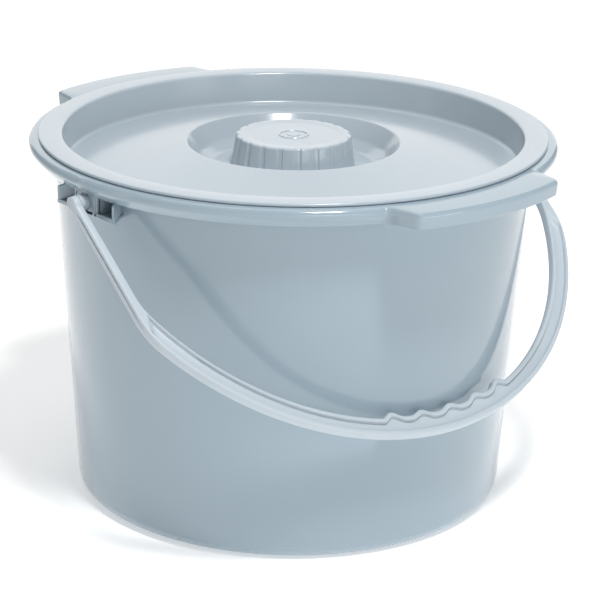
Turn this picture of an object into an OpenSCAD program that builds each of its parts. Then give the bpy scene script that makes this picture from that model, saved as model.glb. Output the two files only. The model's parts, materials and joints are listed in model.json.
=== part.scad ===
// Round commode pail with a recessed lid and a swinging bail handle.
// Millimetres. Origin at the centre of the pail's underside, +Z up.
// X runs along the bail's pivot axis, and the two rim ears are at -Y and +Y.
// Three mouldings: the pail with its rim, ears and pivot brackets, the lid
// with its knob, and the bail with its grip and pivot pegs.

/* [Pail] */
// Outer radius of the rim
rim_r = 150; // [120:1:180]
// Height of the rim's flat top face
rim_top_z = 208.9; // [150:0.1:260]
// Height of the rim's turned-down skirt
skirt_h = 10.1; // [6:0.1:16]
// How far the skirt leans inwards towards its lower edge
skirt_lean = 5.1; // [0:0.1:7]
// Outer radius the wall would have at the underside
base_r = 123.9; // [90:0.1:150]
// Outward lean of the wall, per unit of height
wall_lean = 0.0592; // [0:0.0001:0.15]
// Thickness of the wall, the floor, the rim and the ears
wall_t = 2; // [1.4:0.1:4]
// Bend radius of the rim's outer edge, at the middle of its wall
rim_round = 2.2; // [1:0.1:4]
// Radius of the bend between the floor and the wall
heel_r = 8; // [2:0.1:15]

/* [Ears] */
// Distance from the pail's axis to an ear's outer edge
ear_r = 166.5; // [152:0.5:190]
// Half the angle that an ear's outer edge spans, in degrees
ear_half_angle = 18.6; // [8:0.1:30]
// Half the angle at which an ear's slanted ends meet the rim
ear_root_angle = 21.5; // [10:0.1:35]
// Radius of an ear's outer corners
ear_corner_r = 4; // [2:0.5:12]
// Height of an ear's turned-down edge
ear_h = 8.6; // [4:0.1:16]
// How far an ear's edge leans inwards towards its lower side
ear_lean = 0.6; // [0:0.1:4]

/* [Pivot brackets] */
// Height of the bail's pivot axis
pivot_z = 195.5; // [150:0.5:250]
// Distance from the pail's axis to a bracket's outer face
plate_x = 146.5; // [130:0.1:170]
// Width of the outer plate that holds the pivot hole
plate_w = 20; // [14:0.5:40]
// Thickness of the outer plate
plate_t = 2.5; // [1.5:0.1:5]
// Width of the shelf at its outer edge
shelf_w = 51; // [26:1:70]
// How far each slanted end of the shelf runs in on its way to the wall
shelf_taper = 17; // [0:0.5:22]
// Height of the shelf's underside
shelf_z = 188.6; // [150:0.1:240]
// Thickness of the shelf and the webs
web_t = 1.5; // [1:0.1:4]
// Radius of the pivot hole
hole_r = 4.08; // [3:0.01:8]

/* [Lid] */
// Outer radius of the lid's flange
lid_r = 145.5; // [110:0.5:175]
// Thickness of the lid
lid_t = 1.9; // [1.2:0.1:4]
// Gap between the rim's top face and the lid's flange
seat_gap = 0.2; // [0.1:0.05:1]
// Mid-radius of the plug wall where it leaves the flange
plug_top_r = 132; // [100:0.1:160]
// Mid-radius of the plug wall where it meets the lid's floor
plug_low_r = 131.3; // [100:0.1:160]
// Depth of the lid's floor below the flange, at the plug wall
plug_depth = 19.4; // [8:0.1:40]
// Mid-radius of the rim of the well around the knob
well_rim_r = 62.1; // [45:0.1:90]
// Height that the floor gains on its way in to the well
floor_rise = 13.1; // [0:0.1:30]
// Mid-radius of the foot of the well's wall
well_foot_r = 53.6; // [40:0.1:80]
// Mid-radius of the well's flat bottom where its bend begins
well_flat_r = 47; // [36:0.1:70]
// Depth of the well's bottom below the flange
well_depth = 21; // [10:0.1:40]

/* [Knob] */
// Radius of the knob at the bottom of the well
knob_base_r = 35.3; // [20:0.1:60]
// Radius of the knob just below its top
knob_top_r = 32.75; // [15:0.1:60]
// Depth of the knob's top below the lid's flange
knob_drop = 2.8; // [0:0.1:15]
// Number of grip grooves around the knob
groove_count = 20; // [6:1:40]
// Width of one groove
groove_w = 3; // [1:0.1:6]
// Depth of one groove
groove_d = 0.9; // [0.3:0.1:1.2]

/* [Bail] */
// Tilt of the hanging bail below horizontal, where its grip meets the wall
rest_tilt = 40.6; // [0:0.1:90]
// Distance from the pail's axis to the inner side of an arm
arm_x = 151; // [140:0.1:180]
// Width of an arm, along the pivot axis
arm_w = 5; // [3:0.1:14]
// Thickness of the bail, square to its own plane
bail_t = 6; // [4:0.1:14]
// Distance from the pivot axis to the centre of the bow's arcs
bow_centre = 16.5; // [0:0.5:40]
// Inner radius of the bow
bow_in_r = 160; // [140:0.5:200]
// Outer radius of the bow
bow_out_r = 171; // [150:0.5:220]
// Width of the bow's inner and outer rails
rail_w = 3.1; // [1.5:0.1:6]
// Depth of the recess between the rails, on each face
recess_d = 1.8; // [0.5:0.1:3]
// Radius of the eye at an arm's end
eye_r = 4.6; // [4:0.1:10]

/* [Grip] */
// Height of the finger grip's peaks above the bow's inner edge
grip_h = 4; // [1:0.1:10]
// Angle from one finger groove to the next, about the bow's centre
finger_angle = 7.3; // [4:0.1:12]
// Depth of a finger groove
finger_d = 2.8; // [1:0.1:6]
// Radius of a finger groove
finger_r = 15; // [8:0.5:40]

/* [Pivot pegs] */
// Radius of the peg that turns in the bracket's hole
peg_r = 4; // [3:0.01:8]
// Radius of the snap head behind the plate
head_r = 4.8; // [4:0.1:8]
// Length of the snap head behind the plate
head_l = 3; // [1:0.1:6]
// Gap between the head and the plate
side_gap = 0.4; // [0.2:0.1:2]

/* [Hidden] */
$fn = 128;
skirt_z = rim_top_z - skirt_h;
under_z = rim_top_z - wall_t;
wall_slope = sqrt(1 + wall_lean * wall_lean);
rim_in_r = base_r + wall_lean * skirt_z - wall_t * wall_slope;
lid_z = rim_top_z + seat_gap + lid_t / 2;
lid_floor_z = lid_z - plug_depth;
well_rim_z = lid_floor_z + floor_rise;
well_z = lid_z - well_depth;
knob_z = lid_z - knob_drop;
knob_lean = (knob_base_r - knob_top_r) / (knob_z - well_z);
corner_dist = ear_r - ear_corner_r;
grip_in_r = bow_in_r - grip_h;
fingers = 4;
grip_half = finger_angle * fingers / 2 + 0.8;
arm_start_s = bow_centre + sqrt(bow_in_r * bow_in_r - arm_x * arm_x);
arm_end_s = bow_centre + sqrt(bow_out_r * bow_out_r - pow(arm_x + arm_w, 2));
peg_in_x = plate_x - plate_t - side_gap - head_l;

// Points on an arc from angle a0 to a1 in n steps.
function arc(c, r, a0, a1, n) = [
    for (i = [0 : n]) let (a = a0 + (a1 - a0) * i / n) c + r * [cos(a), sin(a)]
];

// The unit vector along v, and v turned a quarter turn to the left.
function unit(v) = v / norm(v);
function left(v) = [-v[1], v[0]];

// Point i of a path, moved sideways by d with mitred corners.
function beside(p, i, d) =
    let (
        u = left(unit(i > 0 ? p[i] - p[i - 1] : p[1] - p[0])),
        v = left(unit(i < len(p) - 1 ? p[i + 1] - p[i] : p[i] - p[i - 1])),
        m = unit(u + v)
    )
    p[i] + m * d / (m * u);

// A turned skin of thickness t whose middle runs through the path.
module turned_skin(path, t) {
    last = len(path) - 1;
    rotate_extrude() polygon(concat(
        [for (i = [0 : last]) beside(path, i, t / 2)],
        [for (i = [last : -1 : 0]) beside(path, i, -t / 2)]
    ));
}

// The pail's turned body: floor, heel, leaning wall, flange and skirt.
module turned_pail() {
    half = wall_t / 2;
    heel_mid = heel_r - half;
    wall_angle = atan(wall_lean);
    heel_x = base_r + wall_lean * heel_r - heel_r * wall_slope;
    flange_z = rim_top_z - half;
    bend_x = rim_r - half - rim_round;
    turned_skin(concat(
        [[0, half]],
        arc([heel_x, heel_r], heel_mid, -90, -wall_angle, 6),
        [[base_r + wall_lean * flange_z - half * wall_slope, flange_z]],
        arc([bend_x, flange_z - rim_round], rim_round, 90, 0, 4),
        [[rim_r - half - skirt_lean, skirt_z]]
    ), wall_t);
}

// The outline of one ear that points to -Y, inset by a given distance.
function ear_outline(inset) =
    let (
        c = ear_corner_r - inset,
        a = ear_half_angle - asin(ear_corner_r / corner_dist),
        tip = corner_dist * [sin(a), -cos(a)],
        root = rim_r * [sin(ear_root_angle), -cos(ear_root_angle)],
        to_root = root - tip,
        side = atan2(to_root[1], to_root[0]) - acos(ear_corner_r / norm(to_root)),
        foot = root - inset * [cos(side), sin(side)],
        right = concat([[foot[0], -100], foot], arc(tip, c, side, a - 90, 6)),
        outer = arc([0, 0], ear_r - inset, a - 90, -a - 90, 20)
    )
    concat(
        right,
        [for (i = [1 : len(outer) - 2]) outer[i]],
        [for (i = [len(right) - 1 : -1 : 0]) [-right[i][0], right[i][1]]]
    );

// Both ears: their plan cut from a turned solid with a slightly leaning edge.
module ears(inset, inner_r, z0, z1) {
    edge = ear_r - inset;
    shoulder_z = z1 - rim_round;
    lean = ear_lean / ear_h;
    for (a = [0, 180]) rotate(a) intersection() {
        translate([0, 0, z0]) linear_extrude(z1 - z0) polygon(ear_outline(inset));
        rotate_extrude() polygon(concat(
            [[inner_r, z0], [edge - lean * (shoulder_z - z0), z0]],
            arc([edge - rim_round, shoulder_z], rim_round, 0, 90, 4),
            [[inner_r, z1]]
        ));
    }
}

// The outline of a rectangle with rounded corners, centred.
function rounded_rect(w, h, r) = [
    for (q = [0 : 3], p = arc([0, 0], r, 90 * q, 90 * q + 90, 4))
        [(q == 0 || q == 3 ? 1 : -1) * (w / 2 - r), (q < 2 ? 1 : -1) * (h / 2 - r)] + p
];

// Half the shelf's width at a distance x from the pail's axis.
function shelf_half(x) = shelf_w / 2 - shelf_taper * (plate_x - x) / (plate_x - base_r);

// The shelf's plan between x and its outer edge.
module shelf_plan(x) {
    polygon([
        [x, -shelf_half(x)], [plate_x, -shelf_half(plate_x)],
        [plate_x, shelf_half(plate_x)], [x, shelf_half(x)]
    ]);
}

// One pivot bracket at +X: outer plate, shelf, side webs and slanted end webs.
module bracket() {
    depth = plate_x - base_r;
    tall = under_z + 1 - shelf_z;
    translate([plate_x - plate_t, -plate_w / 2, shelf_z]) cube([plate_t, plate_w, tall]);
    translate([0, 0, shelf_z]) linear_extrude(web_t) shelf_plan(base_r);
    // Low lip along the shelf's outer edge.
    translate([0, 0, shelf_z]) linear_extrude(2.6) shelf_plan(plate_x - web_t);
    for (y = [-plate_w / 2, plate_w / 2 - web_t])
        translate([base_r, y, shelf_z]) cube([depth - web_t, web_t, tall]);
    difference() {
        translate([0, 0, shelf_z]) linear_extrude(tall) difference() {
            shelf_plan(base_r);
            for (m = [-1, 1]) polygon([
                [0, 0], [base_r - 1, m * (shelf_half(base_r - 1) - web_t * 1.3)],
                [plate_x + 1, m * (shelf_half(plate_x + 1) - web_t * 1.3)], [plate_x + 1, 0]
            ]);
        }
        // The end webs stay behind the skirt.
        translate([0, 0, skirt_z]) difference() {
            cylinder(r = rim_r + 10, h = 20);
            translate([0, 0, -1]) cylinder(r = plate_x + 0.5, h = 22);
        }
    }
    // Raised border around the pivot hole.
    translate([plate_x - 0.5, 0, pivot_z]) rotate([90, 0, 90]) linear_extrude(1.1)
        difference() {
            polygon(rounded_rect(17.2, 13, 4));
            polygon(rounded_rect(14.6, 11.4, 3));
        }
}

// The pail: wall and floor, rim, ears and both pivot brackets.
module pail() {
    low_z = shelf_z - 5;
    high_z = rim_top_z + 5;
    wall_mid = base_r - wall_t / 2;
    color([0.70, 0.76, 0.80]) difference() {
        union() {
            difference() {
                union() {
                    turned_pail();
                    ears(0, rim_in_r + 1, rim_top_z - ear_h, rim_top_z);
                }
                ears(wall_t, rim_in_r + 3.4, low_z, under_z);
            }
            difference() {
                for (a = [0, 180]) rotate(a) bracket();
                translate([0, 0, low_z]) cylinder(
                    r1 = wall_mid + wall_lean * low_z,
                    r2 = wall_mid + wall_lean * high_z,
                    h = high_z - low_z
                );
            }
        }
        for (a = [0, 180]) rotate(a) translate([plate_x - plate_t, 0, pivot_z])
            rotate([0, 90, 0]) {
                // Pivot hole through the plate, and its counterbore.
                translate([0, 0, -1]) cylinder(r = hole_r, h = plate_t + 4);
                translate([0, 0, plate_t - 0.8]) cylinder(r = hole_r + 0.7, h = 4);
                // Room behind the plate for the snap head.
                translate([0, 0, -head_l - 2]) cylinder(r = head_r + 0.5, h = head_l + 2);
            }
    }
}

// The lid: flange, plug wall, rising floor, well and hollow grooved knob.
module lid() {
    wall_mid = lid_t / 2;
    color([0.74, 0.79, 0.83]) difference() {
        union() {
            turned_skin([
                [lid_r - wall_mid, lid_z], [plug_top_r, lid_z],
                [plug_low_r, lid_floor_z], [well_rim_r, well_rim_z],
                [well_foot_r, well_z + 3], [well_flat_r, well_z],
                [knob_base_r - wall_mid, well_z], [knob_top_r - wall_mid, knob_z],
                [knob_top_r - 3, knob_z], [knob_top_r - 6, knob_z - 0.5], [0, knob_z - 0.5]
            ], lid_t);
            // Low ring and gate disc in the middle of the knob's dished top.
            translate([0, 0, knob_z - 0.5]) difference() {
                cylinder(r = 8.6, h = wall_mid + 0.5);
                cylinder(r = 7.6, h = wall_mid + 1);
            }
            translate([0, 0, knob_z - 0.5]) cylinder(r = 4, h = wall_mid + 0.4);
        }
        for (i = [0 : groove_count - 1]) rotate(i * 360 / groove_count)
            translate([knob_base_r, 0, well_z + wall_mid]) rotate([0, -atan(knob_lean), 0])
                translate([-groove_d, -groove_w / 2, 1])
                    cube([5, groove_w, 30]);
    }
}

// The ring sector between two radii about the bow's centre, from s to the far side.
module bow_band(r0, r1, half_w, s) {
    intersection() {
        translate([0, -bow_centre]) difference() {
            circle(r = r1, $fn = 256);
            circle(r = r0, $fn = 256);
        }
        translate([-half_w, -bow_out_r - 40]) square([2 * half_w, bow_out_r + 40 - s]);
    }
}

// The finger grip's plan on the bow's inner side, drawn inset by a given distance.
module grip_plan(inset) {
    a = grip_half;
    r = bow_in_r + 2;
    translate([0, -bow_centre]) difference() {
        intersection() {
            difference() {
                circle(r = r + inset, $fn = 256);
                circle(r = grip_in_r + inset, $fn = 256);
            }
            polygon([
                [0, 0], [(r + 20) * sin(a + 2), -(r + 20) * cos(a + 2)],
                [0, -r - 40], [-(r + 20) * sin(a + 2), -(r + 20) * cos(a + 2)]
            ]);
        }
        for (i = [0 : fingers - 1]) rotate((i - (fingers - 1) / 2) * finger_angle)
            translate([0, -grip_in_r - finger_d + finger_r])
                circle(r = finger_r + inset, $fn = 96);
    }
}

// The bail's flat plan: arms, bow and finger grip.
module bail_plan() {
    for (m = [-1, 1]) translate([m * (arm_x + arm_w / 2) - arm_w / 2, -arm_end_s])
        square([arm_w, arm_end_s]);
    bow_band(bow_in_r, bow_out_r, arm_x + arm_w, arm_start_s - 3);
    grip_plan(0);
}

// The recess between the rails, cut into each face of the bow.
module recess_plan() {
    bow_band(bow_in_r + rail_w, bow_out_r - rail_w, arm_x + arm_w - rail_w, arm_start_s);
    grip_plan(rail_w);
}

// One arm's eye, peg and snap head on the pivot axis, at +X.
module pivot_peg() {
    rotate([0, 90, 0]) {
        translate([0, 0, arm_x]) cylinder(r = eye_r, h = arm_w);
        translate([0, 0, peg_in_x]) cylinder(r = peg_r, h = arm_x - peg_in_x + 1);
        translate([0, 0, peg_in_x + 1.4]) cylinder(r = head_r, h = head_l - 1.4);
        translate([0, 0, peg_in_x]) cylinder(r1 = peg_r - 0.6, r2 = head_r, h = 1.4);
    }
}

// The bail: flat moulding with rails and grip, tilted to its rest on the wall.
module bail() {
    color([0.66, 0.70, 0.74]) translate([0, 0, pivot_z]) rotate([rest_tilt, 0, 0]) {
        difference() {
            translate([0, 0, -bail_t / 2]) linear_extrude(bail_t) bail_plan();
            translate([0, 0, bail_t / 2 - recess_d]) linear_extrude(bail_t) recess_plan();
            translate([0, 0, recess_d - bail_t * 1.5]) linear_extrude(bail_t) recess_plan();
        }
        for (a = [0, 180]) rotate(a) pivot_peg();
    }
}

pail();
lid();
bail();
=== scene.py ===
"""Round commode pail with a recessed lid and a swinging bail handle.

Every piece is in metres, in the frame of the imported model: the origin is the
centre of the pail's underside, +Z is up, X runs along the bail's pivot axis,
and the bail hangs towards -Y.
"""
import json
from math import acos, asin, atan, atan2, cos, pi, radians, sin, sqrt, tan

import bmesh
import bpy
from mathutils import Matrix, Vector


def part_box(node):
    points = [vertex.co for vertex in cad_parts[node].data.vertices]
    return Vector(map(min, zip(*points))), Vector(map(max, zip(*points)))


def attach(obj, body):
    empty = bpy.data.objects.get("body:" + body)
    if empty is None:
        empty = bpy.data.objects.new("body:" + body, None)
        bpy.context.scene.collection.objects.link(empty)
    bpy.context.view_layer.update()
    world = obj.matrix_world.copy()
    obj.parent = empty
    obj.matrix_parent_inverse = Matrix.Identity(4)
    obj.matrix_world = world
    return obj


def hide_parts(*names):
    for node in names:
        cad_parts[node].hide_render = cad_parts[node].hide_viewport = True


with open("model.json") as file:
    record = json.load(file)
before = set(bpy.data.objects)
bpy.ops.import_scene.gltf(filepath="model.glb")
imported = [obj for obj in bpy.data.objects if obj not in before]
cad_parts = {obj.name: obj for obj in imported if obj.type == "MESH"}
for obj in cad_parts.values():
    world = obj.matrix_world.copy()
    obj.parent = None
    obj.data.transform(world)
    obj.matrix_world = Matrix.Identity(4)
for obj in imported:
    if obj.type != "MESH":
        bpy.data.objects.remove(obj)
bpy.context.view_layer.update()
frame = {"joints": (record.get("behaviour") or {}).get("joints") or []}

MM = 0.001
TAU = 2 * pi
MERGE_DIST = 1e-6

# ---------------------------------------------------------------- dimensions
PAIL_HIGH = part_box("pail")[1]
LID_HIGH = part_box("lid")[1]
BAIL_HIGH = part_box("bail")[1]
PIVOT_Z = next(j["pos_m"][2] for j in frame["joints"] if j["name"] == "bail_swing")

# Pail: wall, rim with its leaning skirt, and the two ears.
RIM_R = 150 * MM
RIM_TOP = PAIL_HIGH.z
RIM_ROUND = 3.0 * MM
SKIRT_H = 10.1 * MM
SKIRT_LEAN = 5.1 * MM
WALL = 2.0 * MM
BASE_R = 123.9 * MM
WALL_LEAN = 0.0592
HEEL_R = 8 * MM
EAR_R = PAIL_HIGH.y
EAR_HALF = radians(18.6)
EAR_ROOT = radians(21.5)
EAR_CORNER = 4 * MM
EAR_H = 8.6 * MM
EAR_LEAN = 0.6 * MM
EAR_ROUND = 2.2 * MM
EAR_SIDE_BLEND = 3.5 * MM
EAR_ROOT_BLEND = 4 * MM
EAR_END = radians(40)

# Pivot brackets: a holed plate over a shelf, with webs back to the wall.
PLATE_X = 146.5 * MM
PLATE_W = 20 * MM
PLATE_T = 2.5 * MM
SHELF_Z = 188.6 * MM
SHELF_W = 51 * MM
SHELF_TAPER = 17 * MM
SHELF_STEPS = 24
LIP_H = 2.6 * MM
WEB = 1.5 * MM
HOLE_R = 4.08 * MM
COUNTERBORE_R = HOLE_R + 0.7 * MM
COUNTERBORE_D = 0.8 * MM
BRACKET_TOP = RIM_TOP - WALL
WALL_MID_R = BASE_R + WALL_LEAN * SHELF_Z - WALL / 2
RING_STEPS = 96

# Lid: the depths are below its top face.
LID_R = LID_HIGH.x
LID_TOP = LID_HIGH.z
LID_T = 1.9 * MM
LID_STEPS = 800
FLOOR_DEPTH = 19.4 * MM
WELL_DEPTH = 21.0 * MM
WELL_EDGE_DEPTH = 6.3 * MM
KNOB_DEPTH = 2.8 * MM
KNOB_TOP_R = 32.75 * MM
KNOB_BASE_R = 35.3 * MM
GROOVES = 20
GROOVE_D = 0.9 * MM

# Bail: distances along it, s, run from the pivot axis towards the grip.
REST_TILT = radians(40.6)
ARM_X = 151 * MM
ARM_W = BAIL_HIGH.x - ARM_X
BAIL_T = 6 * MM
BAIL_ROUND = 1.5 * MM
BOW_S = 16.5 * MM
BOW_IN = 160 * MM
BOW_OUT = 171 * MM
RAIL_W = 3.1 * MM
RAIL_LIP = 0.3 * MM
RECESS = 2.2 * MM
ARM_GROOVE = 1.3 * MM
EYE_R = 4.2 * MM
EYE_STEPS = 14
EDGE_STEPS = 420
FINGER = radians(7.35)
FINGER_RISE = 2.8 * MM
FINGER_SHARPNESS = 1.7
GRIP_HALF = FINGER * 2
GRIP_RISE = 1.1 * MM
GRIP_FADE = radians(2.4)
PEG_R = 4.0 * MM
HEAD_R = 4.8 * MM
HEAD_L = 3 * MM
HEAD_GAP = 0.4 * MM


# ------------------------------------------------------------------- shaping
def smooth_min(a, b, k):
    """The smaller of two values, with a rounded change-over about k wide."""
    h = max(k - abs(a - b), 0) / k
    return min(a, b) - h * h * k / 4


def smooth_max(a, b, k):
    """The larger of two values, with a rounded change-over about k wide."""
    return -smooth_min(-a, -b, k)


def ramp(x, lo, hi):
    """0 below lo, 1 above hi, smooth between."""
    t = min(max((x - lo) / (hi - lo), 0), 1)
    return t * t * (3 - 2 * t)


def mix(a, b, share):
    """A value between a (share 0) and b (share 1)."""
    return a + (b - a) * share


def even_angles(count):
    """Angles at equal steps round a full turn."""
    return [TAU * i / count for i in range(count)]


def filleted(points, steps=5):
    """A path of (r, z, fillet radius) corners as plain (r, z) points."""
    most_of_side = 0.49
    out = []
    last = len(points) - 1
    for i, (x, z, radius) in enumerate(points):
        if i in (0, last) or radius <= 0:
            out.append((x, z))
            continue
        corner = Vector((x, z))
        to_a = Vector(points[i - 1][:2]) - corner
        to_b = Vector(points[i + 1][:2]) - corner
        half = to_a.angle(to_b) / 2
        reach = min(
            radius / max(tan(half), 1e-6),
            most_of_side * to_a.length, most_of_side * to_b.length,
        )
        inwards = (to_a.normalized() + to_b.normalized()).normalized()
        middle = corner + inwards * (reach / cos(half))
        start = corner + to_a.normalized() * reach - middle
        end = corner + to_b.normalized() * reach - middle
        turn = start.angle_signed(end)
        for k in range(steps + 1):
            spoke = start.copy()
            spoke.rotate(Matrix.Rotation(-turn * k / steps, 2))
            out.append(tuple(middle + spoke))
    return out


def make_object(name, verts, faces, body, material, slot, sharp):
    """A mesh that rides a body, with edges over sharp degrees kept crisp."""
    mesh = bpy.data.meshes.new(name)
    mesh.from_pydata([tuple(v) for v in verts], [], faces)
    bm = bmesh.new()
    bm.from_mesh(mesh)
    bmesh.ops.remove_doubles(bm, verts=bm.verts, dist=MERGE_DIST)
    bmesh.ops.recalc_face_normals(bm, faces=bm.faces)
    bm.to_mesh(mesh)
    bm.free()
    mesh.shade_smooth()
    mesh.set_sharp_from_angle(angle=radians(sharp))
    obj = bpy.data.objects.new(name, mesh)
    bpy.context.scene.collection.objects.link(obj)
    mesh.materials.append(material)
    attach(obj, body)
    return obj


def loft(loops, closed_loop=True, closed_ends=False, wrap=False):
    """Vertices and faces that join a row of equal-length loops of points."""
    n = len(loops[0])
    verts = [p for loop in loops for p in loop]
    faces = []
    rows = len(loops) if wrap else len(loops) - 1
    for i in range(rows):
        j = (i + 1) % len(loops)
        for k in range(n if closed_loop else n - 1):
            m = (k + 1) % n
            faces.append((i * n + k, i * n + m, j * n + m, j * n + k))
    if closed_ends:
        faces.append(tuple(range(n)))
        faces.append(tuple(range((len(loops) - 1) * n, len(loops) * n)))
    return verts, faces


def turned(profile_at, angles):
    """Loops for loft(): profile_at(angle) gives the (r, z) points there."""
    return [
        [(r * cos(a), r * sin(a), z) for r, z in profile_at(a)] for a in angles
    ]


def joined(parts):
    """Several (vertices, faces) sets as one."""
    verts, faces = [], []
    for part_verts, part_faces in parts:
        start = len(verts)
        verts += part_verts
        faces += [tuple(i + start for i in f) for f in part_faces]
    return verts, faces


def on_side(part, sign):
    """A part made at +X: there for sign 1, half a turn about Z from it for -1."""
    verts, faces = part
    return [(sign * v[0], sign * v[1], v[2]) for v in verts], faces


# ----------------------------------------------------------------- materials
def plastic(name, colour, roughness, grain_scale, grain, wave, scuff, coat):
    """Moulded polypropylene: slow colour drift, fine skin, sink waves, scuffs."""
    drift_share = 0.02
    mat = bpy.data.materials.new(name)
    mat.use_nodes = True
    nt = mat.node_tree
    nodes, links = nt.nodes, nt.links
    bsdf = nodes["Principled BSDF"]
    bsdf.inputs["Subsurface Weight"].default_value = 0.06
    bsdf.inputs["Subsurface Radius"].default_value = (0.004, 0.005, 0.006)
    bsdf.inputs["IOR"].default_value = 1.49
    bsdf.inputs["Coat Weight"].default_value = coat
    bsdf.inputs["Coat Roughness"].default_value = 0.12

    place = nodes.new("ShaderNodeTexCoord").outputs["Object"]

    def noise(scale, detail, rough=0.5, stretch=(1, 1, 1)):
        source = place
        if stretch != (1, 1, 1):
            mapping = nodes.new("ShaderNodeMapping")
            mapping.inputs["Scale"].default_value = stretch
            links.new(place, mapping.inputs["Vector"])
            source = mapping.outputs["Vector"]
        tex = nodes.new("ShaderNodeTexNoise")
        tex.inputs["Scale"].default_value = scale
        tex.inputs["Detail"].default_value = detail
        tex.inputs["Roughness"].default_value = rough
        links.new(source, tex.inputs["Vector"])
        return tex.outputs["Fac"]

    def band(fac, lo, hi, out_lo, out_hi):
        node = nodes.new("ShaderNodeMapRange")
        node.inputs["From Min"].default_value = lo
        node.inputs["From Max"].default_value = hi
        node.inputs["To Min"].default_value = out_lo
        node.inputs["To Max"].default_value = out_hi
        links.new(fac, node.inputs["Value"])
        return node.outputs["Result"]

    def blended(fac, a, b):
        node = nodes.new("ShaderNodeMix")
        node.data_type = "RGBA"
        links.new(fac, node.inputs["Factor"])
        for socket, value in ((node.inputs["A"], a), (node.inputs["B"], b)):
            if isinstance(value, tuple):
                socket.default_value = (*value, 1)
            else:
                links.new(value, socket)
        return node.outputs["Result"]

    def bump(height, strength, distance):
        node = nodes.new("ShaderNodeBump")
        node.inputs["Strength"].default_value = strength
        node.inputs["Distance"].default_value = distance
        links.new(height, node.inputs["Height"])
        return node

    # Slow colour drift in the resin, then a few small paler scuffs over it.
    dark = tuple(c * (1 - drift_share) for c in colour)
    pale = tuple(min(c * (1 + drift_share), 1) for c in colour)
    drift = blended(band(noise(9, 3), 0.3, 0.7, 0, 1), dark, pale)
    scuffs = band(noise(160, 6, 0.65, (1, 1, 0.3)), 0.66, 0.74, 0, scuff)
    worn = tuple(min(c * 1.12 + 0.02, 1) for c in colour)
    links.new(blended(scuffs, drift, worn), bsdf.inputs["Base Color"])

    # Handling leaves the gloss uneven, in slow patches.
    haze = band(noise(24, 5, 0.6), 0.3, 0.75, roughness * 0.8, roughness * 1.35)
    links.new(haze, bsdf.inputs["Roughness"])

    # Fine mould skin over slow sink waves.
    skin = bump(noise(grain_scale, 3), grain, 0.2 * MM)
    sink = bump(noise(14, 1), wave, 3 * MM)
    links.new(skin.outputs["Normal"], sink.inputs["Normal"])
    links.new(sink.outputs["Normal"], bsdf.inputs["Normal"])
    return mat


PAIL_MAT = plastic(
    "pail_plastic_skin", colour=(0.325, 0.41, 0.47), roughness=0.11,
    grain_scale=900, grain=0.05, wave=0.05, scuff=0.03, coat=0.3,
)
LID_MAT = plastic(
    "lid_plastic_skin", colour=(0.435, 0.505, 0.56), roughness=0.20,
    grain_scale=900, grain=0.05, wave=0.06, scuff=0.03, coat=0.3,
)
BAIL_MAT = plastic(
    "bail_plastic_skin", colour=(0.51, 0.575, 0.625), roughness=0.40,
    grain_scale=1500, grain=0.30, wave=0.04, scuff=0.10, coat=0.0,
)

# ---------------------------------------------------------------------- pail
# An ear's side, in plan, is the line from its root on the rim that touches the
# round corner at its tip. Here the ear's middle points along +Y.
CORNER_DIST = EAR_R - EAR_CORNER
TIP_ANGLE = EAR_HALF - asin(EAR_CORNER / CORNER_DIST)
TIP = Vector((CORNER_DIST * sin(TIP_ANGLE), CORNER_DIST * cos(TIP_ANGLE)))
ROOT = Vector((RIM_R * sin(EAR_ROOT), RIM_R * cos(EAR_ROOT)))
TO_ROOT = ROOT - TIP
SIDE = atan2(TO_ROOT.y, TO_ROOT.x) + acos(EAR_CORNER / TO_ROOT.length)
SIDE_NORMAL = Vector((cos(SIDE), sin(SIDE)))
SIDE_OFFSET = SIDE_NORMAL.dot(TIP) + EAR_CORNER


def ear_angle(a):
    """Angle from the nearer ear's middle, in radians, for a plan angle a."""
    return min(
        abs((a + pi / 2 + pi) % TAU - pi), abs((a - pi / 2 + pi) % TAU - pi),
    )


def rim_outline(a):
    """Outer radius of the rim and its ears at plan angle a."""
    far_out = 1.0
    off = ear_angle(a)
    if off > EAR_END:
        return RIM_R
    facing = SIDE_NORMAL.dot(Vector((sin(off), cos(off))))
    side = SIDE_OFFSET / facing if facing > 0.05 else far_out
    ear = smooth_min(EAR_R, side, EAR_SIDE_BLEND)
    return smooth_max(RIM_R, ear, EAR_ROOT_BLEND)


def edge_corner(out, lean, height, round_r):
    """Radius where a leaning edge's line meets the top, so its bend ends at out."""
    corner = out
    for _ in range(8):
        tilt = atan((corner - out + lean) / height)
        corner = out + round_r * ((1 + sin(tilt)) / cos(tilt) - 1)
    return corner


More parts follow.
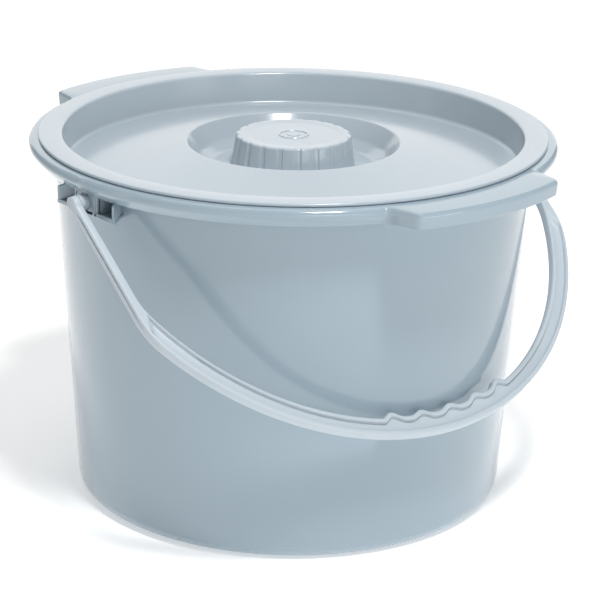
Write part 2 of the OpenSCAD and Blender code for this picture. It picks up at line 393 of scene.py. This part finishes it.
def pail_profile(a):
    """The pail's closed section at plan angle a, ears and rim included."""
    out = rim_outline(a)
    ear = ramp(out, RIM_R + 0.5 * MM, RIM_R + 6 * MM)
    lean = mix(SKIRT_LEAN, EAR_LEAN, ear)
    height = mix(SKIRT_H, EAR_H, ear)
    round_r = mix(RIM_ROUND, EAR_ROUND, ear)
    corner = edge_corner(out, lean, height, round_r)
    skirt_z = RIM_TOP - height
    # The skirt is cut away round the counterbore of each pivot hole.
    across = abs(PLATE_X * sin(a))
    if ear < 0.5 and across < COUNTERBORE_R:
        skirt_z = max(skirt_z, PIVOT_Z + sqrt(COUNTERBORE_R ** 2 - across ** 2))
    inner = corner - WALL * 1.1
    wall_top = BASE_R + WALL_LEAN * RIM_TOP
    low_out = out - lean * (RIM_TOP - skirt_z) / height
    section = [
        (0, 0, 0),
        (BASE_R, 0, HEEL_R),
        (wall_top - 0.1 * MM, RIM_TOP - WALL, 1.2 * MM),
        (inner, RIM_TOP - WALL, round_r * 0.6),
        (low_out - WALL, skirt_z, 0.5 * MM),
        (low_out, skirt_z, 0.7 * MM),
        (corner, RIM_TOP, round_r),
        (wall_top - WALL, RIM_TOP, 0.8 * MM),
        (BASE_R - WALL, WALL, HEEL_R - WALL + 1 * MM),
        (0, WALL, 0),
    ]
    return filleted(section, 6)


def pail_angles():
    """Plan angles, closer together at the ears' corners and the pivots."""
    step = 0.5
    marks = []
    for i in range(round(360 / step)):
        mark = i * step
        marks.append(mark)
        from_ear = abs(mark % 180 - 90)
        if 12 < from_ear < 27 or from_ear > 87:
            marks.append(mark + step / 2)
    return [radians(mark) for mark in marks]


PAIL = make_object(
    "pail_moulding",
    *loft(turned(pail_profile, pail_angles()), closed_loop=False, wrap=True),
    "pail", PAIL_MAT, "pail_plastic", sharp=50,
)


# ------------------------------------------------------------ pivot brackets
def ray_box(angle, half_w, down, up, k):
    """Distance from the origin to a rounded box's outline along an angle."""
    c, s = cos(angle), sin(angle)
    to_side = half_w / max(abs(c), 1e-6)
    to_end = (up if s > 0 else down) / max(abs(s), 1e-6)
    return smooth_min(to_side, to_end, k)


def bevelled_box(lo, hi, radius):
    """Vertices and faces of a box with rounded edges."""
    bm = bmesh.new()
    bmesh.ops.create_cube(bm, size=1)
    lo, hi = Vector(lo), Vector(hi)
    for v in bm.verts:
        v.co = Vector((lo[i] + (v.co[i] + 0.5) * (hi[i] - lo[i]) for i in range(3)))
    bmesh.ops.bevel(
        bm, geom=bm.edges[:], offset=radius, segments=3, profile=0.5,
        affect="EDGES",
    )
    verts = [v.co.copy() for v in bm.verts]
    faces = [tuple(v.index for v in f.verts) for f in bm.faces]
    bm.free()
    return verts, faces


def pivot_ring(x, radius_at):
    """A loop round the pivot axis at x; radius_at(angle) gives its radius."""
    ring = []
    for a in even_angles(RING_STEPS):
        r = radius_at(a)
        ring.append((x, cos(a) * r, PIVOT_Z + sin(a) * r))
    return ring


def wall_x(y):
    """X of the middle of the pail's wall, at the shelf's height."""
    return sqrt(WALL_MID_R ** 2 - y ** 2)


def shelf_half(x):
    """Half the shelf's length at x: it narrows towards the wall."""
    return SHELF_W / 2 - SHELF_TAPER * (PLATE_X - x) / (PLATE_X - BASE_R)


def holed_plate():
    """The plate with the peg's hole, and a raised border round the hole."""
    half, down, up = PLATE_W / 2, PIVOT_Z - SHELF_Z, BRACKET_TOP - PIVOT_Z
    back, front = PLATE_X - PLATE_T, PLATE_X
    bevel = 0.6 * MM
    raised = front + 0.6 * MM
    sunk = front - COUNTERBORE_D

    def outline(x, inset):
        return pivot_ring(
            x, lambda a: ray_box(a, half - inset, down - inset, up, 1 * MM))

    def border(x, half_w, half_h):
        return pivot_ring(
            x, lambda a: ray_box(a, half_w, half_h, half_h, 3.4 * MM))

    def hole(x, r):
        return pivot_ring(x, lambda a: r)

    return loft([
        outline(back, 0), outline(front - bevel, 0), outline(front, bevel),
        border(front, 8.7 * MM, 6.6 * MM), border(raised, 8.4 * MM, 6.3 * MM),
        border(raised, 7.6 * MM, 5.9 * MM), border(front, 7.3 * MM, 5.7 * MM),
        hole(front, COUNTERBORE_R), hole(sunk, COUNTERBORE_R - 0.1 * MM),
        hole(sunk, HOLE_R), hole(back, HOLE_R),
    ], wrap=True)


def lipped_shelf():
    """The shelf, with a lip along its outer edge."""
    front, behind = PLATE_X, PLATE_X - WEB
    lip_z = SHELF_Z + LIP_H
    bevel = 0.4 * MM
    rows = []
    for i in range(SHELF_STEPS + 1):
        share = 2 * i / SHELF_STEPS - 1
        y = share * shelf_half(front)
        y_lip = share * shelf_half(behind)
        y_wall = share * shelf_half(WALL_MID_R)
        x_wall = wall_x(y_wall)
        rows.append([
            (x_wall, y_wall, SHELF_Z), (front - bevel, y, SHELF_Z),
            (front, y, SHELF_Z + bevel), (front, y, lip_z - bevel),
            (front - bevel, y, lip_z), (behind + bevel, y_lip, lip_z),
            (behind, y_lip, lip_z - bevel), (behind, y_lip, SHELF_Z + WEB),
            (x_wall, y_wall, SHELF_Z + WEB),
        ])
    return loft(rows, closed_ends=True)


def plate_webs():
    """The two webs that run from the plate's sides back to the wall."""
    half = PLATE_W / 2
    return [
        bevelled_box(
            (wall_x(y + WEB / 2), y, SHELF_Z + 0.2 * MM),
            (PLATE_X - WEB, y + WEB, BRACKET_TOP + 0.5 * MM), 0.3 * MM,
        )
        for y in (-half, half - WEB)
    ]


def end_webs():
    """The slanted end webs, stepped back where they rise behind the skirt."""
    inner, outer = WALL_MID_R - 1 * MM, PLATE_X - 0.1 * MM
    behind = RIM_R - SKIRT_LEAN - 3 * MM
    foot, head = SHELF_Z + 0.3 * MM, BRACKET_TOP + 0.5 * MM
    skirt_z = RIM_TOP - SKIRT_H
    outline = [
        (inner, foot), (outer, foot), (outer, skirt_z - 0.5 * MM),
        (behind, skirt_z + 1.5 * MM), (behind, head), (inner, head),
    ]
    return [
        loft([
            [(x, sign * (shelf_half(x) - inset), z) for x, z in outline]
            for inset in (0.05 * MM, WEB * 1.3)
        ], closed_ends=True)
        for sign in (-1, 1)
    ]


for side, sign in (("left", -1), ("right", 1)):
    bracket = joined([holed_plate(), lipped_shelf(), *plate_webs(), *end_webs()])
    make_object(
        f"pivot_bracket_{side}", *on_side(bracket, sign),
        "pail", PAIL_MAT, "pail_plastic", sharp=35,
    )


# ----------------------------------------------------------------------- lid
def lid_profile(a):
    """The lid's closed section at plan angle a: top face out, underside back."""
    phase = (a / TAU * GROOVES) % 1
    from_groove = min(phase, 1 - phase) / GROOVES * TAU * KNOB_TOP_R
    groove = GROOVE_D * (1 - ramp(from_groove, 1.1 * MM, 1.7 * MM))
    top = LID_TOP
    floor = top - FLOOR_DEPTH
    well = top - WELL_DEPTH
    well_edge = top - WELL_EDGE_DEPTH
    knob = top - KNOB_DEPTH
    sunk = knob - 0.5 * MM
    fine = 0.2 * MM
    upper = [
        # The mark of the moulding's gate: a low disc in a narrow ring.
        (0, knob - 0.1 * MM, 0), (3.6 * MM, knob - 0.1 * MM, fine),
        (4.1 * MM, sunk, fine), (7.4 * MM, sunk, fine),
        (7.8 * MM, knob, fine), (8.5 * MM, knob, fine), (8.9 * MM, sunk, fine),
        # The knob's slightly sunk top and its grooved side.
        (25 * MM, knob - 0.4 * MM, 3 * MM), (29.5 * MM, knob, 3 * MM),
        (KNOB_TOP_R - groove, knob, 1.3 * MM),
        (KNOB_BASE_R - groove, well, 1.5 * MM),
        # The well, the floor that falls outwards, the plug wall and flange.
        (46.5 * MM, well, 7 * MM), (53.5 * MM, well + 4.5 * MM, 9 * MM),
        (60.9 * MM, well_edge, 1.6 * MM), (130.2 * MM, floor, 2.2 * MM),
        (131.0 * MM, top, 1.6 * MM),
        (LID_R, top, 0.9 * MM), (LID_R, top - LID_T, 0.7 * MM),
    ]
    under = [
        (132.9 * MM, top - LID_T, 0.6 * MM), (132.2 * MM, floor - LID_T, 1.6 * MM),
        (62.9 * MM, well_edge - LID_T, 1.0 * MM),
        (55.3 * MM, well + 2.5 * MM, 8 * MM), (47.2 * MM, well - LID_T, 8 * MM),
        (KNOB_BASE_R - LID_T, well - LID_T, 0.6 * MM),
        (KNOB_TOP_R - LID_T, knob - LID_T, 1 * MM),
        (0, knob - LID_T - 0.5 * MM, 0),
    ]
    return filleted(upper + under)


LID = make_object(
    "lid_moulding",
    *loft(turned(lid_profile, even_angles(LID_STEPS)), closed_loop=False, wrap=True),
    "lid", LID_MAT, "lid_plastic", sharp=50,
)

# ---------------------------------------------------------------------- bail
# The straight arms end where they meet the bow's inner and outer circles.
ARM_IN_END = BOW_S + sqrt(BOW_IN ** 2 - ARM_X ** 2)
ARM_OUT_END = BOW_S + sqrt(BOW_OUT ** 2 - (ARM_X + ARM_W) ** 2)
IN_SPAN = asin(ARM_X / BOW_IN)
OUT_SPAN = asin((ARM_X + ARM_W) / BOW_OUT)
KNEE = 0.30


def grip_height(phi):
    """How far the grip stands in from the bow's inner edge at angle phi."""
    edge = ramp(GRIP_HALF + GRIP_FADE - abs(phi), 0, GRIP_FADE)
    if edge <= 0:
        return 0
    wave = (0.5 + 0.5 * cos(TAU * phi / FINGER)) ** FINGER_SHARPNESS
    if abs(phi) > GRIP_HALF:
        wave = 1
    return edge * (GRIP_RISE + FINGER_RISE * wave)


def edge_point(travel, outer):
    """Plan point (x, s) on the left half's inner or outer edge.

    travel runs from 0 at the pivot, past KNEE where the arm meets the bow, to 1
    where the bow crosses the middle.
    """
    if outer:
        span, end, radius, x = OUT_SPAN, ARM_OUT_END, BOW_OUT, ARM_X + ARM_W
    else:
        span, end, radius, x = IN_SPAN, ARM_IN_END, BOW_IN, ARM_X
    if travel <= KNEE:
        return -x, end * travel / KNEE
    phi = span * (1 - (travel - KNEE) / (1 - KNEE))
    if not outer:
        radius -= grip_height(phi)
    return -radius * sin(phi), BOW_S + radius * cos(phi)


def to_frame(x, s, h):
    """A point in the bail's plane, h above it, as a point in the frame."""
    return (
        x,
        -s * cos(REST_TILT) - h * sin(REST_TILT),
        PIVOT_Z - s * sin(REST_TILT) + h * cos(REST_TILT),
    )


def quarter_turn(across, height, radius, start):
    """Points of a quarter circle, clockwise from the start angle."""
    angles = [start - k * pi / 8 for k in range(5)]
    return [(across + radius * cos(a), height + radius * sin(a)) for a in angles]


def bail_section(width, half, recess, soft, groove=0.0):
    """(across, height) points round one section, inner edge at across 0.

    Every section has the same number of points, so that loft() can join them.
    """
    below = half - soft
    if width > 2 * RAIL_W + 1 * MM:
        # A web sunk between two rails.
        step = min(RAIL_LIP, recess)
        rail = [
            (RAIL_W - RAIL_LIP, half), (RAIL_W, half - step),
            (RAIL_W + 0.15 * MM, half - recess + step * 0.5),
            (RAIL_W + 0.4 * MM, half - recess),
        ]
        face = rail + [(width - x, h) for x, h in reversed(rail)]
    else:
        face = [(width * (0.42 + 0.02 * k), half) for k in range(8)]
    upper = [
        *quarter_turn(soft, below, soft, pi),
        *face,
        *quarter_turn(width - soft, below, soft, pi / 2),
    ]
    if groove:
        # Along the outer side of an arm, just below its top face.
        side = [
            (width - groove * 0.9, below), (width - groove, below - 0.2 * MM),
            (width - groove, below - 1.0 * MM),
            (width - groove * 0.5, below - 1.1 * MM), (width, below - 1.3 * MM),
        ]
    else:
        side = [(width, below * (1 - 0.15 * k)) for k in range(1, 6)]
    return upper + side + [(x, -h) for x, h in reversed(upper)]


def softened(points, middle, reach):
    """The points with the ones near a given index averaged along the path."""
    out = list(points)
    for i in range(middle - reach * 2, middle + reach * 2):
        span = min(reach, 2 * reach - abs(i - middle))
        if span > 0:
            near = points[i - span:i + span + 1]
            out[i] = sum(near, Vector((0, 0))) / len(near)
    return out


def edge_line(outer, reach):
    """Points along one edge of the left half, with its knee rounded."""
    points = [Vector(edge_point(i / EDGE_STEPS, outer)) for i in range(EDGE_STEPS + 1)]
    return softened(points, round(KNEE * EDGE_STEPS), reach)


def bail_loops():
    """Sections from the left arm's round end to the right arm's."""
    loops = []
    for k in range(EYE_STEPS):
        s = -EYE_R * cos(pi / 2 * k / EYE_STEPS)
        half = max(sqrt(max(EYE_R ** 2 - s * s, 0)), 0.2 * MM)
        section = bail_section(ARM_W, half, 0, min(BAIL_ROUND, half * 0.95))
        loops.append([to_frame(-ARM_X - across, s, h) for across, h in section])
    for inner, outer in zip(edge_line(False, 12), edge_line(True, 16)):
        half = BAIL_T / 2
        if inner.y < EYE_R:
            half = max(half, sqrt(max(EYE_R ** 2 - inner.y ** 2, 0)))
        recess = RECESS * ramp(inner.y, ARM_IN_END + 1 * MM, ARM_IN_END + 8 * MM)
        groove = ARM_GROOVE * ramp(inner.y, EYE_R, EYE_R + 8 * MM)
        groove *= 1 - ramp(inner.y, ARM_IN_END - 12 * MM, ARM_IN_END)
        width = (outer - inner).length
        section = bail_section(width, half, recess, BAIL_ROUND, groove)
        outwards = (outer - inner).normalized()
        loops.append([
            to_frame(*(inner + outwards * across), h) for across, h in section
        ])
    right_half = [[(-x, y, z) for x, y, z in loop] for loop in loops[:-1]]
    return loops + right_half[::-1]


BAIL = make_object(
    "bail_moulding", *loft(bail_loops(), closed_ends=True),
    "bail", BAIL_MAT, "bail_plastic", sharp=45,
)


def peg():
    """Collar, peg and snap head on the pivot axis at +X."""
    inner = PLATE_X - PLATE_T - HEAD_GAP
    tip = inner - HEAD_L
    sunk = ARM_X + 1 * MM
    profile = filleted([
        (0, sunk, 0), (PEG_R + 0.6 * MM, sunk, 0),
        (PEG_R + 0.5 * MM, ARM_X - 0.2 * MM, 0.5 * MM),
        (PEG_R, ARM_X - 0.7 * MM, 0.6 * MM), (PEG_R, inner, 0.1 * MM),
        (HEAD_R, inner, 0.2 * MM), (HEAD_R, tip + 1.4 * MM, 0.3 * MM),
        (PEG_R - 0.6 * MM, tip, 0.4 * MM), (0, tip, 0),
    ], 4)
    loops = [
        [(x, r * cos(a), PIVOT_Z + r * sin(a)) for r, x in profile]
        for a in even_angles(RING_STEPS)
    ]
    return loft(loops, closed_loop=False, wrap=True)


for side, sign in (("left", -1), ("right", 1)):
    make_object(
        f"bail_peg_{side}", *on_side(peg(), sign),
        "bail", BAIL_MAT, "bail_plastic", sharp=40,
    )

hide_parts("pail")
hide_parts("lid")
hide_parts("bail")


# --------------------------------------------------------------------- stage
def floor_material():
    """Matte white that glows a little, so that the floor fades into the page."""
    mat = bpy.data.materials.new("studio_floor")
    mat.use_nodes = True
    bsdf = mat.node_tree.nodes["Principled BSDF"]
    bsdf.inputs["Base Color"].default_value = (0.93, 0.93, 0.93, 1)
    bsdf.inputs["Roughness"].default_value = 0.8
    bsdf.inputs["Emission Color"].default_value = (1, 1, 1, 1)
    bsdf.inputs["Emission Strength"].default_value = 0.38
    return mat


# The floor lies just below the pail, so that the two faces don't share a plane.
bpy.ops.mesh.primitive_plane_add(size=30)
FLOOR = bpy.context.object
FLOOR.name = "floor"
FLOOR.data.materials.append(floor_material())
FLOOR.location.z = -0.5 * MM

WORLD = bpy.data.worlds.new("studio")
bpy.context.scene.world = WORLD
WORLD.use_nodes = True
SKY = WORLD.node_tree.nodes["Background"]
SKY.inputs["Color"].default_value = (1, 1, 1, 1)
SKY.inputs["Strength"].default_value = 0.22
bpy.context.scene.view_settings.view_transform = "Standard"

CAMERA_TURN = radians(-41)


def seen(right, away, up):
    """A place given as the camera sees it: to its right, away from it, and up."""
    c, s = cos(CAMERA_TURN), sin(CAMERA_TURN)
    return right * c - away * s, right * s + away * c, up


def area_light(name, place, aim, size, power):
    """A rectangular light of a given size in metres and power in watts."""
    data = bpy.data.lights.new(name, "AREA")
    data.shape = "RECTANGLE"
    data.size, data.size_y = size
    data.energy = power
    light = bpy.data.objects.new(name, data)
    bpy.context.scene.collection.objects.link(light)
    light.location = place
    towards = Vector(aim) - Vector(place)
    light.rotation_euler = towards.to_track_quat("-Z", "Y").to_euler()


area_light("key", seen(0.25, -0.64, 1.5), (0, 0, 0.1), (0.24, 0.24), 16)
area_light("top", seen(-0.1, 0.4, 1.5), (0, 0, 0.1), (1.0, 0.8), 4)
area_light("right", seen(1.2, -0.9, 0.3), (0, 0, 0.02), (0.5, 0.3), 2.2)
area_light("left", seen(-1.4, -0.4, 0.5), (0, 0, 0.1), (0.3, 0.9), 0.7)
area_light("back", seen(-0.1, 1.7, 0.68), (0, 0, 0.2), (2.0, 1.2), 7.5)
area_light("front", seen(0.6, -2.0, 0.35), (0, 0, 0.05), (1.0, 0.4), 4)

# -------------------------------------------------------------------- camera
# It stands to the front left. Its pitch, yaw and roll are in radians, and its
# place is a distance out from the pail's axis and a height.
CAMERA_OUT = 1.3335
CAMERA_HEIGHT = 0.5781
CAMERA_PITCH = 0.339
CAMERA_YAW = 0.004
CAMERA_ROLL = 0.018
CAMERA_LENS = 145.5

turn = Matrix.Rotation(CAMERA_TURN, 3, "Z")
ahead = Vector((
    sin(CAMERA_YAW) * cos(CAMERA_PITCH),
    cos(CAMERA_YAW) * cos(CAMERA_PITCH),
    -sin(CAMERA_PITCH),
))
across = Vector((cos(CAMERA_YAW), -sin(CAMERA_YAW), 0))
above = across.cross(ahead)
across, above = (
    across * cos(CAMERA_ROLL) + above * sin(CAMERA_ROLL),
    above * cos(CAMERA_ROLL) - across * sin(CAMERA_ROLL),
)
axes = Matrix((turn @ across, turn @ above, turn @ -ahead)).transposed()
camera_data = bpy.data.cameras.new("camera")
camera_data.sensor_width = 36
camera_data.lens = CAMERA_LENS
CAMERA = bpy.data.objects.new("camera", camera_data)
CAMERA.matrix_world = Matrix.Translation(
    turn @ Vector((0, -CAMERA_OUT, CAMERA_HEIGHT))
) @ axes.to_4x4()
bpy.context.scene.collection.objects.link(CAMERA)
bpy.context.scene.camera = CAMERA
